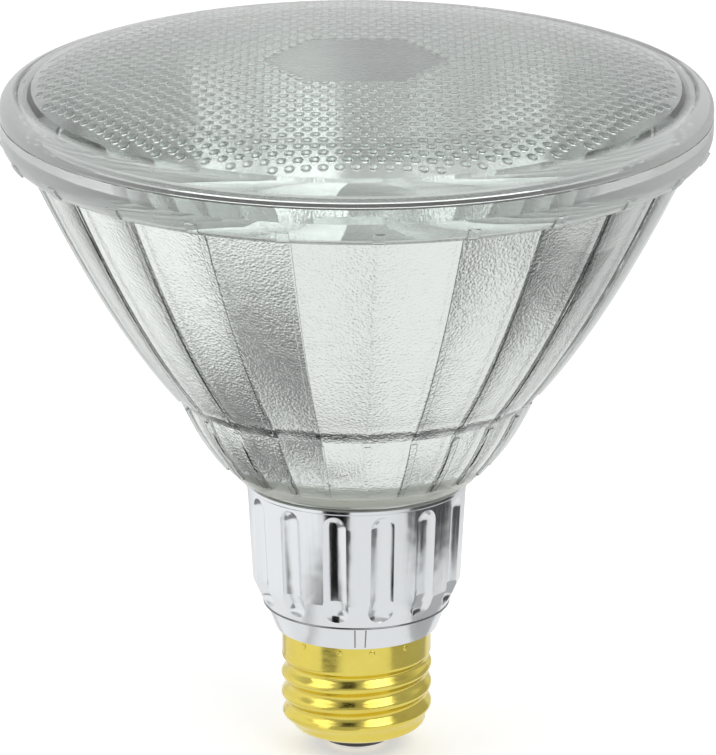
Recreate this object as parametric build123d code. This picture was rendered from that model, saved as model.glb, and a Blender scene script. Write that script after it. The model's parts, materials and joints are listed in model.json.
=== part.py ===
from build123d import *
import os
from math import cos, hypot, radians, sin

# A reflector spotlight bulb on a medium screw base, in millimetres.
# The lamp stands base down with its axis on Z. The origin is the flat tip of the centre contact,
# and the lens faces +Z. Radii are measured from the axis and heights from the contact tip.

os.makedirs("parts", exist_ok=True)

# Glass rim and lens
rim_d = 121.5
joint_w = 4.4
seal_t = 0.3
seal_inset = 0.5
lens_rise = 9.7
lens_wall = 3.2
lens_side_h = 0.9
crown_mid_w = 15.75
crown_mid_drop = 2.45
crown_edge_w = 6.25
crown_edge_drop = 4.6
shoulder_arc_r = 3.0
shoulder_slope = 20.0

# Reflector: the mirror is a true paraboloid, and the glass lies outside it
focal_length = 12.5
focus_z = 62.7
glass_wall = 2.6
mirror_bottom_r = 29.0
flange_w = 6.45
flange_h = 6.9
flange_side_h = 2.4
flange_round_w = 2.6
heel_step = 0.35
heel_foot_w = 3.9
heel_end_z = 50.6
heel_bulge = 0.9
heel_under_z = 49.75
neck_gap = 0.6
neck_end_z = 37.0

# Panels of the reflector, parted by narrow ribs that end in a small lug under the flange
panel_count = 24
panel_phase = 3.5
rib_h = 0.35
rib_arc = 1.3
heel_rib_arc = 2.2
heel_rib_end_z = 53.0
lug_h = 0.35
lug_arc = 2.0
lug_from = 22.0
lug_to = 50.0
rib_root = 0.8

# Aluminium skirt
skirt_top_z = 49.4
skirt_corner_z = 31.6
skirt_corner_in = 0.95
skirt_ledge_z = 26.9
skirt_ledge_in = 3.0
skirt_ledge_step = 0.25
skirt_bottom_z = 22.5
skirt_bottom_in = 4.95
skirt_wall = 0.45
lip_h = 1.0
lip_w = 0.25
skirt_neck_end_z = 18.8
flute_count = 14
flute_phase = 1.1
flute_tool_r = 3.2
flute_depth = 0.85
flute_top_gap = 1.1
flute_bottom_gap = 0.9

# Screw shell of the medium Edison base
thread_pitch = 3.629
thread_major_r = 13.1
thread_minor_r = 12.3
thread_crest_z = 7.15
thread_turns = 3
collar_r = 12.95
collar_top_z = 22.3
shell_wall = 0.35
shell_bottom_z = 3.5
shell_hole_r = 6.9

# Insulator and centre contact
insulator_tip_r = 5.7
insulator_foot_z = 1.4
insulator_top_z = 6.9
insulator_top_r = 9.2
contact_r = 4.9
contact_t = 0.35
contact_bore_r = 1.0
contact_stem_top_z = 8.2
solder_r = 3.6
tip_flat_r = 2.0

# Light source on its pedestal
spreader_r = 13.8
spreader_wall = 1.5
spreader_top_t = 2.0
pad_t = 0.2
board_t = 1.2
board_edge = 0.4
board_hole_r = 2.2
emitter_count = 8
emitter_ring_r = 7.4
emitter_side = 3.0
emitter_h = 0.75
emitter_focus_gap = 0.3
screw_edge = 2.0
screw_r = 1.0
screw_head_r = 1.9
screw_head_h = 1.2
screw_len = 4.0

# Driver in its insulating cup
cup_wall = 1.2
cup_top_z = 46.0
cup_shoulder_z = 27.5
cup_tail_top_z = 22.0
cup_tail_r = 11.2
cup_tail_end_z = 9.0
pcb_t = 1.2
pcb_face_y = -0.8
pcb_upper_gap = 0.5
pcb_lower_gap = 0.6
pcb_top_z = 45.0
pcb_step_z = 29.0
pcb_bottom_z = 11.5
capacitor_d = 10.0
capacitor_h = 15.0
capacitor_x = -5.8
transformer_w = 9.0
transformer_d = 7.2
transformer_h = 11.0
transformer_x = 5.4
inductor_d = 7.0
inductor_h = 6.0
inductor_x = -3.6
fuse_d = 3.2
fuse_len = 8.0
fuse_x = 5.2
film_w = 6.0
film_d = 4.0
film_h = 7.0
film_x = -4.6
bridge_w = 4.8
bridge_d = 1.6
bridge_h = 4.0
chip_w = 5.0
chip_d = 1.5
chip_h = 4.0
lead_r = 0.5
shell_lead_r = 0.25
shell_lead_x = 7.6
output_lead_x = 1.1

# Cement and clearances
cement_w = 1.6
cement_top_z = 47.6
cement_bottom_z = 34.0
cement_inner_top_z = 44.0
fit = 0.05

# Values that follow from the sizes above
rim_r = rim_d / 2
crown_mid_r = rim_r - crown_mid_w
crown_edge_r = rim_r - crown_edge_w
mirror_top_r = rim_r - flange_w
mirror_vertex_z = focus_z - focal_length
neck_r = spreader_r + neck_gap + glass_wall
heel_end_r = neck_r + heel_foot_w
skirt_top_r = neck_r + cement_w + skirt_wall
skirt_corner_r = skirt_top_r - skirt_corner_in
skirt_ledge_r = skirt_top_r - skirt_ledge_in
skirt_bottom_r = skirt_top_r - skirt_bottom_in


def mirror_point(r, depth):
    """Point at a distance outside the mirror, along its normal, where the mirror has radius r."""
    slope = r / (2 * focal_length)
    norm = hypot(1, slope)
    return (r + depth * slope / norm, mirror_vertex_z + r * r / (4 * focal_length) - depth / norm)


flange_bottom_z = mirror_point(mirror_top_r, glass_wall)[1]
seam_z = flange_bottom_z + flange_h
apex_z = seam_z + lens_rise
glass_top_z = seam_z - seal_t
heel_start = mirror_point(mirror_bottom_r, glass_wall)
emitter_top_z = focus_z - emitter_focus_gap
led_board_z = emitter_top_z - emitter_h - board_t
spreader_top_z = led_board_z - pad_t
led_board_r = spreader_r - board_edge
screw_ring_r = led_board_r - screw_edge
pcb_upper_w = 2 * (spreader_r - cup_wall - pcb_upper_gap)
pcb_lower_w = 2 * (cup_tail_r - cup_wall - pcb_lower_gap)
knuckle_r = thread_crest_z - shell_bottom_z
knuckle_centre_r = thread_major_r - knuckle_r


def turned(edges, arc=360):
    """Solid turned about the axis from a closed (r, z) outline."""
    return revolve(Plane.XZ * make_face(edges), Axis.Z, arc)


def loop(*points):
    """Closed outline of straight lines."""
    return Polyline(*points, close=True).edges()


def bowl_curve(depth, top_first=True):
    """Curve that follows the mirror at a distance outside it."""
    steps = 6
    radii = [mirror_bottom_r + (mirror_top_r - mirror_bottom_r) * i / steps for i in range(steps + 1)]
    points = [mirror_point(r, depth) for r in radii]
    if top_first:
        points.reverse()
    return Spline(*points)


def heel_points(depth):
    """Start, middle and end of the heel's arc, moved inwards by depth."""
    r0, z0 = heel_start[0] - heel_step, heel_start[1] - heel_step / 2
    r2, z2 = heel_end_r, heel_end_z
    length = hypot(r0 - r2, z0 - z2)
    normal = ((z0 - z2) / length, -(r0 - r2) / length)
    middle = ((r0 + r2) / 2 + heel_bulge * normal[0], (z0 + z2) / 2 + heel_bulge * normal[1])
    centre, radius = arc_centre((r0, z0), middle, (r2, z2))
    moved = []
    for point in ((r0, z0), middle, (r2, z2)):
        scale = (radius - depth) / radius
        moved.append((centre[0] + (point[0] - centre[0]) * scale,
                      centre[1] + (point[1] - centre[1]) * scale))
    return moved


def arc_centre(a, b, c):
    """Centre and radius of the circle through three points."""
    d = 2 * (a[0] * (b[1] - c[1]) + b[0] * (c[1] - a[1]) + c[0] * (a[1] - b[1]))
    sa, sb, sc = (p[0] ** 2 + p[1] ** 2 for p in (a, b, c))
    x = (sa * (b[1] - c[1]) + sb * (c[1] - a[1]) + sc * (a[1] - b[1])) / d
    y = (sa * (c[0] - b[0]) + sb * (a[0] - c[0]) + sc * (b[0] - a[0])) / d
    return (x, y), hypot(a[0] - x, a[1] - y)


def heel_arc(depth):
    """Arc of the heel, moved inwards by depth."""
    start, middle, end = heel_points(depth)
    return ThreePointArc(start, middle, end)


def crown_arcs(depth, edge):
    """Two tangent arcs of the lens's crown, moved down by depth, from the axis to an edge point."""
    middle = (crown_mid_r, apex_z - crown_mid_drop - depth)
    inner = TangentArc((0, apex_z - depth), middle, tangent=(1, 0))
    return [inner, TangentArc(middle, edge, tangent=inner % 1)]


def make_lens():
    """Shallow domed cover glass with a rounded shoulder and a flat foot at the seam."""
    side_top = (rim_r, seam_z + lens_side_h)
    slope = radians(shoulder_slope)
    shoulder_top = (rim_r - shoulder_arc_r * (1 - sin(slope)), side_top[1] + shoulder_arc_r * cos(slope))
    inner_edge = (crown_edge_r, apex_z - crown_edge_drop - lens_wall)
    foot = Polyline(side_top, (rim_r, seam_z), (rim_r - joint_w, seam_z), inner_edge)
    return turned([
        *crown_arcs(0, shoulder_top),
        TangentArc(side_top, shoulder_top, tangent=(0, 1)),
        *foot.edges(),
        *crown_arcs(lens_wall, inner_edge),
        Line((0, apex_z - lens_wall), (0, apex_z)),
    ])


def make_lens_seal():
    """Thin ring of adhesive between the lens and the reflector."""
    inner = rim_r - joint_w + seal_inset
    outer = rim_r - seal_inset
    return turned(loop((inner, glass_top_z), (outer, glass_top_z), (outer, seam_z), (inner, seam_z)))


def reflector_body():
    """Pressed glass bowl with its flange, heel and open neck."""
    outer_bowl = bowl_curve(glass_wall)
    mirror = bowl_curve(0, top_first=False)
    heel = heel_arc(0)
    inner_heel = heel_arc(glass_wall)
    corner = TangentArc(
        (rim_r, glass_top_z - flange_side_h), (rim_r - flange_round_w, flange_bottom_z), tangent=(0, -1))
    seam_inner = (rim_r - joint_w, glass_top_z)
    neck_inner_r = neck_r - glass_wall
    inner_corner_z = (inner_heel @ 1).Y - (((inner_heel @ 1).X - neck_inner_r) / 2)
    outline = [
        *Polyline(seam_inner, (rim_r, glass_top_z), corner @ 0).edges(),
        corner,
        Line(corner @ 1, outer_bowl @ 0),
        outer_bowl,
        Line(outer_bowl @ 1, heel @ 0),
        heel,
        *Polyline(
            heel @ 1,
            (heel_end_r - (heel_end_z - heel_under_z) * 1.5, heel_under_z),
            (neck_r, heel_under_z),
            (neck_r, neck_end_z),
            (neck_inner_r, neck_end_z),
            (neck_inner_r, inner_corner_z),
            inner_heel @ 1,
        ).edges(),
        inner_heel,
        Line(inner_heel @ 0, mirror @ 0),
        mirror,
        Line(mirror @ 1, seam_inner),
    ]
    return turned(outline)


def panel_rib(outline, arc):
    """Narrow wedge of a turned outline, centred on the first line between two panels."""
    return Rot(Z=panel_phase - arc / 2) * turned(outline, arc)


def bowl_rib():
    """Rib up the bowl, rooted in its wall, from above the heel into the flange."""
    low_r = mirror_bottom_r + rib_root
    high_r = mirror_top_r + rib_root
    steps = 6
    radii = [low_r + (high_r - low_r) * i / steps for i in range(steps + 1)]
    outer = Spline(*[mirror_point(r, glass_wall + rib_h) for r in radii])
    inner = Spline(*[mirror_point(r, glass_wall - rib_root) for r in reversed(radii)])
    return panel_rib([outer, Line(outer @ 1, inner @ 0), inner, Line(inner @ 1, outer @ 0)], rib_arc)


def heel_rib():
    """Rib down the heel, which stops where the bare glass starts."""
    outer = heel_arc(-rib_h)
    inner = ThreePointArc(*reversed(heel_points(rib_root)))
    rib = panel_rib(
        [outer, Line(outer @ 1, inner @ 0), inner, Line(inner @ 1, outer @ 0)], heel_rib_arc)
    top_z = heel_start[1] - rib_root
    keep = Pos(Z=heel_rib_end_z) * Cylinder(
        rim_r, top_z - heel_rib_end_z, align=(Align.CENTER, Align.CENTER, Align.MIN))
    return rib & keep


def lug():
    """Small square lug, raised from the rounded corner of the flange."""
    start_z = glass_top_z - flange_side_h
    corner_h = start_z - flange_bottom_z
    corner_r = (flange_round_w ** 2 + corner_h ** 2) / (2 * flange_round_w)
    centre = (rim_r - corner_r, start_z)
    outer = CenterArc(centre, corner_r + lug_h, -lug_to, lug_to - lug_from)
    inner = CenterArc(centre, corner_r - rib_root, -lug_to, lug_to - lug_from)
    return panel_rib([outer, Line(outer @ 1, inner @ 1), inner, Line(inner @ 0, outer @ 0)], lug_arc)


def make_reflector():
    """Reflector with a bowl rib, a lug and a heel rib between each two panels."""
    one = [bowl_rib(), lug(), heel_rib()]
    ribs = [Rot(Z=360 / panel_count * i) * shape for i in range(panel_count) for shape in one]
    return reflector_body().fuse(*ribs)


def skirt_outline(inset, bottom_gap):
    """Outer points of the skirt from its top to its bottom edge, moved inwards by inset."""
    return [
        (skirt_top_r - inset, skirt_top_z),
        (skirt_corner_r - inset, skirt_corner_z),
        (skirt_ledge_r - inset, skirt_ledge_z),
        (skirt_ledge_r - skirt_ledge_step - inset, skirt_ledge_z),
        (skirt_bottom_r - inset, skirt_bottom_z + bottom_gap),
    ]


def flute_tools(extra):
    """Rounded grooves down the skirt, which follow its wall and its cone, grown by extra."""
    tool_r = flute_tool_r + extra
    lift = flute_tool_r - flute_depth
    wall_slope = (skirt_top_r - skirt_corner_r) / (skirt_top_z - skirt_corner_z)
    top_z = skirt_top_z - lip_h - flute_top_gap - flute_tool_r / 2
    top = Vector(skirt_top_r - (skirt_top_z - top_z) * wall_slope + lift, 0, top_z)
    corner = Vector(skirt_corner_r + lift, 0, skirt_corner_z)
    end_z = skirt_ledge_z + flute_bottom_gap + flute_tool_r / 2
    cone_slope = (skirt_corner_r - skirt_ledge_r) / (skirt_corner_z - skirt_ledge_z)
    end = Vector(skirt_ledge_r + (end_z - skirt_ledge_z) * cone_slope + lift, 0, end_z)
    tool = Pos(*top) * Sphere(tool_r) + Pos(*corner) * Sphere(tool_r) + Pos(*end) * Sphere(tool_r)
    for start, finish in ((top, corner), (corner, end)):
        way = finish - start
        place = Plane(origin=(start + finish) / 2, x_dir=(0, 1, 0), z_dir=way)
        tool += place * Cylinder(tool_r, way.length)
    return [Rot(Z=flute_phase + 360 / flute_count * i) * tool for i in range(flute_count)]


def make_skirt():
    """Pressed aluminium skirt with rounded flutes and a neck that the screw shell is staked on."""
    neck_outer_r = collar_r - shell_wall - fit
    neck_inner_r = neck_outer_r - skirt_wall
    outside = turned(loop(
        *skirt_outline(0, 0),
        (neck_outer_r, skirt_bottom_z),
        (neck_outer_r, skirt_neck_end_z),
        (0, skirt_neck_end_z),
        (0, skirt_top_z),
    ))
    inside = turned(loop(
        *skirt_outline(skirt_wall, skirt_wall),
        (neck_inner_r, skirt_bottom_z + skirt_wall),
        (neck_inner_r, skirt_neck_end_z),
        (0, skirt_neck_end_z),
        (0, skirt_top_z),
    ))
    inside = inside.cut(*flute_tools(skirt_wall))
    lip = turned(loop(
        (skirt_top_r - skirt_wall, skirt_top_z - lip_h),
        (skirt_top_r, skirt_top_z - lip_h),
        (skirt_top_r + lip_w, skirt_top_z - lip_h * 0.75),
        (skirt_top_r + lip_w, skirt_top_z - lip_w),
        (skirt_top_r, skirt_top_z),
        (skirt_top_r - skirt_wall, skirt_top_z),
    ))
    return outside.cut(*flute_tools(0)).cut(inside) + lip


def thread_arcs():
    """Rolled thread as rings: tangent arcs from the lowest crest up to the collar."""
    points = [(thread_major_r, thread_crest_z)]
    for i in range(thread_turns):
        z = thread_crest_z + i * thread_pitch
        next_r = thread_major_r if i < thread_turns - 1 else collar_r
        points += [
            ((thread_major_r + thread_minor_r) / 2, z + thread_pitch / 4),
            (thread_minor_r, z + thread_pitch / 2),
            ((next_r + thread_minor_r) / 2, z + thread_pitch * 0.75),
            (next_r, z + thread_pitch),
        ]
    arcs = []
    way = (0, 1)
    for start, finish in zip(points, points[1:]):
        arcs.append(TangentArc(start, finish, tangent=way))
        way = arcs[-1] % 1
    return arcs


def make_screw_shell():
    """Brass shell with its rolled thread, a plain collar and an inturned bottom."""
    centre = (knuckle_centre_r, thread_crest_z)
    knuckle = CenterArc(centre, knuckle_r, -90, 90)
    inner_knuckle = CenterArc(centre, thread_minor_r - shell_wall - knuckle_centre_r, -90, 90)
    floor_z = shell_bottom_z + shell_wall
    thread = thread_arcs()
    collar_start_z = (thread[-1] @ 1).Y
    rest = Polyline(
        thread[-1] @ 1,
        (collar_r, collar_top_z),
        (collar_r - shell_wall, collar_top_z),
        (collar_r - shell_wall, collar_start_z),
        (thread_minor_r - shell_wall, collar_start_z - shell_wall),
        inner_knuckle @ 1,
    )
    bottom = Polyline(
        inner_knuckle @ 0, (knuckle_centre_r, floor_z), (shell_hole_r, floor_z),
        (shell_hole_r, shell_bottom_z), knuckle @ 0)
    return turned([knuckle, *thread, *rest.edges(), inner_knuckle, *bottom.edges()])


def make_base_insulator():
    """Black insulating button that closes the shell's bottom and carries the contact."""
    waist_r = shell_hole_r - fit
    seat_z = shell_bottom_z + shell_wall + fit
    return turned(loop(
        (contact_bore_r + fit, insulator_foot_z),
        (insulator_tip_r, insulator_foot_z),
        (waist_r, shell_bottom_z),
        (waist_r, seat_z),
        (knuckle_centre_r - fit, seat_z),
        (insulator_top_r, seat_z + (insulator_top_z - seat_z) / 2),
        (insulator_top_r, insulator_top_z),
        (contact_bore_r + fit, insulator_top_z),
    ))


def make_centre_contact():
    """Brass eyelet: a flange under the insulator and a hollow stem through it."""
    bore = contact_bore_r - contact_t
    return turned(loop(
        (bore, insulator_foot_z - contact_t),
        (contact_r, insulator_foot_z - contact_t),
        (contact_r, insulator_foot_z),
        (contact_bore_r, insulator_foot_z),
        (contact_bore_r, contact_stem_top_z),
        (bore, contact_stem_top_z),
    ))


def make_contact_solder():
    """Low dome of solder on the eyelet, flat where it meets the socket's spring."""
    top_z = insulator_foot_z - contact_t
    rise = Spline((solder_r, top_z), (tip_flat_r, 0), tangents=((-0.3, -1), (-1, 0)))
    rest = Polyline((tip_flat_r, 0), (0, 0), (0, top_z), (solder_r, top_z))
    return turned([rise, *rest.edges()])


def make_heat_spreader():
    """Drawn aluminium cap that carries the light source and closes the driver cup."""
    inner_r = spreader_r - spreader_wall
    cap = turned(loop(
        (0, spreader_top_z - spreader_top_t),
        (inner_r, spreader_top_z - spreader_top_t),
        (inner_r, cup_top_z),
        (spreader_r, cup_top_z),
        (spreader_r, spreader_top_z),
        (0, spreader_top_z),
    ))
    return cap - lead_hole(spreader_top_z) - screw_bores(screw_r + fit)


def lead_hole(top_z):
    """Hole on the axis that the output leads pass through."""
    return Pos(Z=top_z) * Cylinder(board_hole_r, 4 * spreader_top_t)


def screw_bores(radius):
    """Pair of bores for the board's screws."""
    bore = Cylinder(radius, 3 * screw_len)
    return Compound([Pos(0, side * screw_ring_r, led_board_z) * bore for side in (-1, 1)])


def disc(radius, z, thickness):
    """Round plate that stands on a height."""
    return Pos(Z=z) * Cylinder(radius, thickness, align=(Align.CENTER, Align.CENTER, Align.MIN))


def make_thermal_pad():
    """Soft pad between the spreader and the light source's board."""
    pad = disc(led_board_r - board_edge, spreader_top_z, pad_t)
    return pad - lead_hole(spreader_top_z) - screw_bores(screw_r + fit)


def make_led_board():
    """Round metal-core board."""
    board = disc(led_board_r, led_board_z, board_t)
    return board - lead_hole(led_board_z) - screw_bores(screw_r + fit)


def make_led_emitters():
    """Ring of square emitters, each a package with a raised window."""
    align = (Align.CENTER, Align.CENTER, Align.MIN)
    package = Box(emitter_side, emitter_side, emitter_h * 0.7, align=align)
    window = Cylinder(emitter_side * 0.4, emitter_h, align=align)
    one = Pos(emitter_ring_r, 0, led_board_z + board_t) * (package + window)
    return Compound([Rot(Z=360 / emitter_count * (i + 0.5)) * one for i in range(emitter_count)])


def make_board_screws():
    """Pan-head screws that clamp the board to the spreader."""
    top = led_board_z + board_t
    shank = Pos(Z=top - screw_len) * Cylinder(
        screw_r, screw_len, align=(Align.CENTER, Align.CENTER, Align.MIN))
    head = disc(screw_head_r, top, screw_head_h)
    head = fillet(head.edges().group_by(Axis.Z)[-1], screw_head_h * 0.5)
    slot = Pos(Z=top + screw_head_h) * Box(3 * screw_head_r, screw_r * 0.6, screw_head_h)
    one = shank + head - slot
    return Compound([Pos(0, side * screw_ring_r, 0) * one for side in (-1, 1)])


def make_driver_cup():
    """Moulded insulating cup that steps down into the screw shell."""
    return turned(loop(
        (spreader_r, cup_top_z),
        (spreader_r, cup_shoulder_z),
        (cup_tail_r, cup_tail_top_z),
        (cup_tail_r, cup_tail_end_z),
        (cup_tail_r - cup_wall, cup_tail_end_z),
        (cup_tail_r - cup_wall, cup_tail_top_z),
        (spreader_r - cup_wall, cup_shoulder_z),
        (spreader_r - cup_wall, cup_top_z),
    ))


def block(width, depth, height, x, z, front=True):
    """Box that stands on a face of the driver board, centred on x, with its foot at z."""
    align = (Align.CENTER, Align.MIN if front else Align.MAX, Align.MIN)
    y = pcb_face_y if front else pcb_face_y - pcb_t
    return Pos(x, y, z) * Box(width, depth, height, align=align)


def make_driver_board():
    """Upright board: wide in the cup and narrow in its tail."""
    upper = block(pcb_upper_w, pcb_t, pcb_top_z - pcb_step_z, 0, pcb_step_z)
    lower = block(pcb_lower_w, pcb_t, pcb_step_z - pcb_bottom_z, 0, pcb_bottom_z)
    return Pos(Y=-pcb_t) * (upper + lower)


def make_storage_capacitor():
    """Upright electrolytic can with its rolled groove."""
    r = capacitor_d / 2
    groove_z = capacitor_h * 0.12
    can = revolve(Plane.XZ * make_face(loop(
        (0, 0), (r, 0), (r, groove_z), (r * 0.92, groove_z * 1.3), (r, groove_z * 1.6),
        (r, capacitor_h - r * 0.1), (r * 0.9, capacitor_h), (0, capacitor_h))), Axis.Z)
    return Pos(capacitor_x, pcb_face_y + r, pcb_step_z) * can


def make_power_transformer():
    """Ferrite core with a waisted winding."""
    core = block(transformer_w, transformer_d, transformer_h, transformer_x, pcb_step_z)
    window = Pos(transformer_x, pcb_face_y + transformer_d / 2, pcb_step_z + transformer_h / 2)
    gap = Box(2 * transformer_w, transformer_d * 0.6, transformer_h * 0.6)
    winding = Box(transformer_w * 0.8, transformer_d * 0.8, transformer_h * 0.5)
    return core - window * gap + window * winding


def make_filter_inductor():
    """Drum core with a wound waist, flat on the board."""
    r = inductor_d / 2
    flange = inductor_h * 0.15
    drum = revolve(Plane.XZ * make_face(loop(
        (0, 0), (r, 0), (r, flange), (r * 0.85, flange), (r * 0.85, inductor_h - flange),
        (r, inductor_h - flange), (r, inductor_h), (0, inductor_h))), Axis.Z)
    place_z = (cup_tail_top_z + pcb_step_z) / 2
    return Pos(inductor_x, pcb_face_y, place_z) * Rot(X=-90) * drum


def make_fuse_resistor():
    """Upright fusible resistor with domed ends."""
    r = fuse_d / 2
    body = Cylinder(r, fuse_len, align=(Align.CENTER, Align.CENTER, Align.MIN))
    body = fillet(body.edges(), r * 0.4)
    return Pos(fuse_x, pcb_face_y + r, pcb_bottom_z + 1) * body


def make_film_capacitor():
    """Boxed film capacitor beside the fuse resistor."""
    body = block(film_w, film_d, film_h, film_x, pcb_bottom_z + 0.5)
    return fillet(body.edges().filter_by(Axis.Z), film_d * 0.15)


def make_bridge_rectifier():
    """Small moulded rectifier on the back of the board."""
    return chamfer(
        block(bridge_w, bridge_d, bridge_h, 0, cup_tail_top_z - bridge_h, False)
        .faces().sort_by(Axis.Y)[0].edges(), bridge_d * 0.2)


def make_driver_chip():
    """Control chip on the back of the board."""
    return chamfer(
        block(chip_w, chip_d, chip_h, 0, pcb_step_z + chip_h, False)
        .faces().sort_by(Axis.Y)[0].edges(), chip_d * 0.2)


def wire(radius, bend, *points):
    """Round wire along straight runs joined by arcs."""
    path = FilletPolyline(*points, radius=bend) if bend else Line(*points)
    start = path.edges()[0]
    return sweep(Plane(origin=start @ 0, z_dir=start % 0) * Circle(radius), path)


def make_contact_lead():
    """Wire from the driver board down through the eyelet's stem."""
    bore = contact_bore_r - contact_t - fit
    y = pcb_face_y + lead_r
    upper = wire(lead_r, lead_r * 3, (0, y, pcb_bottom_z + 2), (0, y, pcb_bottom_z - 0.5),
                 (0, 0, contact_stem_top_z + 1), (0, 0, contact_stem_top_z))
    tail = Pos(Z=insulator_foot_z - contact_t) * Cylinder(
        bore, contact_stem_top_z - insulator_foot_z + contact_t,
        align=(Align.CENTER, Align.CENTER, Align.MIN))
    return upper + tail


def make_shell_lead():
    """Bare wire bent out under the cup's tail and trapped between the cup and the shell."""
    y = pcb_face_y + shell_lead_r
    out_x = cup_tail_r + fit + shell_lead_r
    under_z = cup_tail_end_z - 3 * shell_lead_r
    return wire(shell_lead_r, shell_lead_r * 1.6,
                (shell_lead_x, y, pcb_bottom_z + 3), (shell_lead_x, y, under_z),
                (out_x, y, under_z), (out_x, y, cup_tail_end_z + 4))


def make_output_leads():
    """Pair of wires from the driver board to the pads beside the hole in the light source's board."""
    y = pcb_face_y + lead_r
    pad_z = led_board_z + board_t
    over_z = pad_z + 3 * lead_r
    leads = []
    for side in (-1, 1):
        leads.append(wire(lead_r, lead_r * 1.4,
                          (side * output_lead_x, y, pcb_top_z - 3), (side * output_lead_x, y, over_z),
                          (side * (board_hole_r + 3 * lead_r), y, over_z),
                          (side * (board_hole_r + 3 * lead_r), y, pad_z)))
    return Compound(leads)


def make_basing_cement():
    """Cement that fills the space between the glass neck, the skirt and the driver cup."""
    slope = (skirt_top_r - skirt_corner_r) / (skirt_top_z - skirt_corner_z)
    gap = skirt_wall + fit
    top_r = skirt_top_r - gap - (skirt_top_z - cement_top_z) * slope
    low_r = skirt_top_r - gap - (skirt_top_z - cement_bottom_z) * slope
    neck_inner_r = neck_r - glass_wall
    ring = turned(loop(
        (neck_r + fit, cement_top_z),
        (top_r, cement_top_z),
        (low_r, cement_bottom_z),
        (spreader_r + fit, cement_bottom_z),
        (spreader_r + fit, cement_inner_top_z),
        (neck_inner_r - fit, cement_inner_top_z),
        (neck_inner_r - fit, neck_end_z - fit),
        (neck_r + fit, neck_end_z - fit),
    ))
    return ring.cut(*flute_tools(skirt_wall + fit))


pieces = {
    "lens": make_lens,
    "lens_seal": make_lens_seal,
    "reflector": make_reflector,
    "skirt": make_skirt,
    "basing_cement": make_basing_cement,
    "screw_shell": make_screw_shell,
    "base_insulator": make_base_insulator,
    "centre_contact": make_centre_contact,
    "contact_solder": make_contact_solder,
    "heat_spreader": make_heat_spreader,
    "thermal_pad": make_thermal_pad,
    "led_board": make_led_board,
    "led_emitters": make_led_emitters,
    "board_screws": make_board_screws,
    "driver_cup": make_driver_cup,
    "driver_board": make_driver_board,
    "storage_capacitor": make_storage_capacitor,
    "power_transformer": make_power_transformer,
    "filter_inductor": make_filter_inductor,
    "fuse_resistor": make_fuse_resistor,
    "film_capacitor": make_film_capacitor,
    "bridge_rectifier": make_bridge_rectifier,
    "driver_chip": make_driver_chip,
    "contact_lead": make_contact_lead,
    "shell_lead": make_shell_lead,
    "output_leads": make_output_leads,
}

for name, make in pieces.items():
    export_step(make(), f"parts/{name}.step")
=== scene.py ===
import json
import math

import bpy
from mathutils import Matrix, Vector
from mathutils.bvhtree import BVHTree

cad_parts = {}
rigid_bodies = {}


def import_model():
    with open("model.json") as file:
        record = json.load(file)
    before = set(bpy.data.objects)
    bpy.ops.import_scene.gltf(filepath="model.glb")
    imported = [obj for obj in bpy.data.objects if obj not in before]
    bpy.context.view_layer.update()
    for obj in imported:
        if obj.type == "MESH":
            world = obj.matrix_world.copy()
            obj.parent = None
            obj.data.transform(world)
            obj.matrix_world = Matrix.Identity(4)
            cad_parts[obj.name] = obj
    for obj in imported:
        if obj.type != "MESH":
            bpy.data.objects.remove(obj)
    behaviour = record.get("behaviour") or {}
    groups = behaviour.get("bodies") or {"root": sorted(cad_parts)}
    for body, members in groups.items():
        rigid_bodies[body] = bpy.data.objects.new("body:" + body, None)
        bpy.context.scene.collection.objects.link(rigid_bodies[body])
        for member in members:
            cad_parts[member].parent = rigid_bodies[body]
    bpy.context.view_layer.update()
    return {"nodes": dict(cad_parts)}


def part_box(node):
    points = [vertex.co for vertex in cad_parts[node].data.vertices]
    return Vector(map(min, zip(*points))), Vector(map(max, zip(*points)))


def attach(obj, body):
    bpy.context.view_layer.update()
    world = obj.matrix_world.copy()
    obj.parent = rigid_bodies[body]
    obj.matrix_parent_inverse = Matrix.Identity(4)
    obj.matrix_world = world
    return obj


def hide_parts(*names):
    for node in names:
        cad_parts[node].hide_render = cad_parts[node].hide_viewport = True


bl_info = {
    "name": "Reflector Spotlight Bulb",
    "version": (1, 0, 0),
    "blender": (4, 5, 0),
    "location": "View3D > Sidebar > Bulb",
    "description": "Finishes a glass reflector bulb and sets it on a studio floor",
    "category": "Object",
}

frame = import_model()
nodes = frame["nodes"]
MM = 0.001


# Sizes and colours that a user would change

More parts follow.
